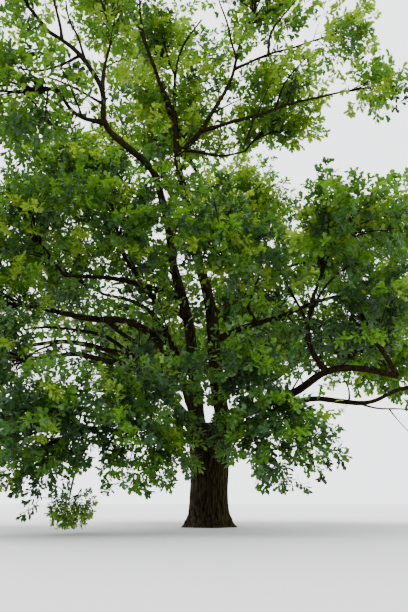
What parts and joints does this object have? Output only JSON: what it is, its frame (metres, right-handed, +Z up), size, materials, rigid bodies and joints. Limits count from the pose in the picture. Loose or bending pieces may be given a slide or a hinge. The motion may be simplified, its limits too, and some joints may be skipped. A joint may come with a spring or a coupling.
{
  "type": "oak tree",
  "caption": "Open-grown oak in summer leaf: a short flared trunk that forks low, spreading boughs and separate masses of foliage.",
  "frame": {"origin": "middle of the flat cut under the trunk, at ground level", "axes": "+Z up, +X to the right as seen from the front, -Y the front of the tree, where its low skirt of foliage hangs"},
  "size_m": [17.1851, 14.8859, 19.135],
  "materials": {
    "bark": "rough, deeply furrowed dark brown-grey bark",
    "foliage": "fresh green leaves with a slight sheen"
  },
  "bodies": {
    "root": {"trunk": "bark", "leader_left": "bark", "leader_right": "bark", "upper_left_mid": "bark", "upper_left_top": "bark", "top_mid": "bark", "upper_right": "bark", "right_tip": "bark", "right_mid": "bark", "right_hang": "bark", "left_high": "bark", "left_up": "bark", "left_rising": "bark", "left_middle": "bark", "left_long": "bark", "left_low": "bark", "right_level": "bark", "right_low": "bark", "right_riser": "bark", "right_bare": "bark", "front_high": "bark", "front_low_left": "bark", "back_right_low": "bark", "back_low": "bark", "back_left_low": "bark", "back_right_mid": "bark", "back_mid": "bark", "back_left_mid": "bark", "leader_left_foliage": "foliage", "leader_right_foliage": "foliage", "upper_left_mid_foliage": "foliage", "upper_left_top_foliage": "foliage", "top_mid_foliage": "foliage", "upper_right_foliage": "foliage", "right_tip_foliage": "foliage", "right_mid_foliage": "foliage", "right_hang_foliage": "foliage", "left_high_foliage": "foliage", "left_up_foliage": "foliage", "left_rising_foliage": "foliage", "left_middle_foliage": "foliage", "left_long_foliage": "foliage", "left_low_foliage": "foliage", "right_level_foliage": "foliage", "right_low_foliage": "foliage", "right_riser_foliage": "foliage", "front_high_foliage": "foliage", "front_mid_foliage": "foliage", "front_low_right_foliage": "foliage", "front_low_mid_foliage": "foliage", "front_low_left_foliage": "foliage", "hanging_foliage": "foliage", "back_right_low_foliage": "foliage", "back_low_foliage": "foliage", "back_left_low_foliage": "foliage", "back_right_mid_foliage": "foliage", "right_far_foliage": "foliage", "back_mid_foliage": "foliage", "back_top_foliage": "foliage", "back_left_mid_foliage": "foliage"}
  },
  "joints": []
}
